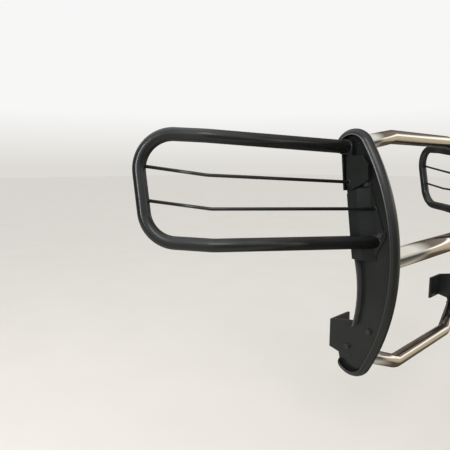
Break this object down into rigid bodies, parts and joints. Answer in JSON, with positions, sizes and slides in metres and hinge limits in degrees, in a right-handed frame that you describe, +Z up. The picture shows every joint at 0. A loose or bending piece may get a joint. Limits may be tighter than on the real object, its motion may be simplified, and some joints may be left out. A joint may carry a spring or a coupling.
{
  "type": "front grille guard",
  "caption": "Grille guard for the front of a truck: bowed black uprights, polished stainless crossbars and a bent-tube cage with thin rods round each headlamp; bolts to the frame ends",
  "frame": {"origin": "middle of the frame bolt pattern, on the rear faces of the two frame brackets and on the centre plane", "axes": "+X runs across the vehicle (the vehicle's right-hand side is -X), -Y points forward, +Y points back along the bolts, +Z up"},
  "size_m": [1.848, 0.548, 0.7834],
  "materials": {
    "black_powder_coat": "semi-gloss black powder coat on mild steel",
    "polished_stainless": "mirror-polished stainless steel tube",
    "black_fasteners": "black zinc plated steel fasteners",
    "plain_steel": "plain machined steel, hidden inside the tubes"
  },
  "bodies": {
    "root": {"right_upright_plate": "black_powder_coat", "left_upright_plate": "black_powder_coat", "right_upright_rim": "black_powder_coat", "left_upright_rim": "black_powder_coat", "right_lower_flange": "black_powder_coat", "left_lower_flange": "black_powder_coat", "right_upper_flange": "black_powder_coat", "left_upper_flange": "black_powder_coat", "right_frame_bracket": "black_powder_coat", "left_frame_bracket": "black_powder_coat", "top_crossbar": "polished_stainless", "middle_crossbar": "polished_stainless", "lower_crossbar": "polished_stainless", "top_crossbar_plugs": "plain_steel", "middle_crossbar_plugs": "plain_steel", "lower_crossbar_plugs": "plain_steel", "right_cage_loop": "black_powder_coat", "left_cage_loop": "black_powder_coat", "right_cage_plate": "black_powder_coat", "left_cage_plate": "black_powder_coat", "right_upper_rod": "black_powder_coat", "left_upper_rod": "black_powder_coat", "right_lower_rod": "black_powder_coat", "left_lower_rod": "black_powder_coat", "crossbar_screws": "black_fasteners", "bracket_bolts": "black_fasteners", "bracket_washers": "black_fasteners", "cage_bolts": "black_fasteners", "cage_washers": "black_fasteners", "cage_nuts": "black_fasteners"}
  },
  "joints": []
}
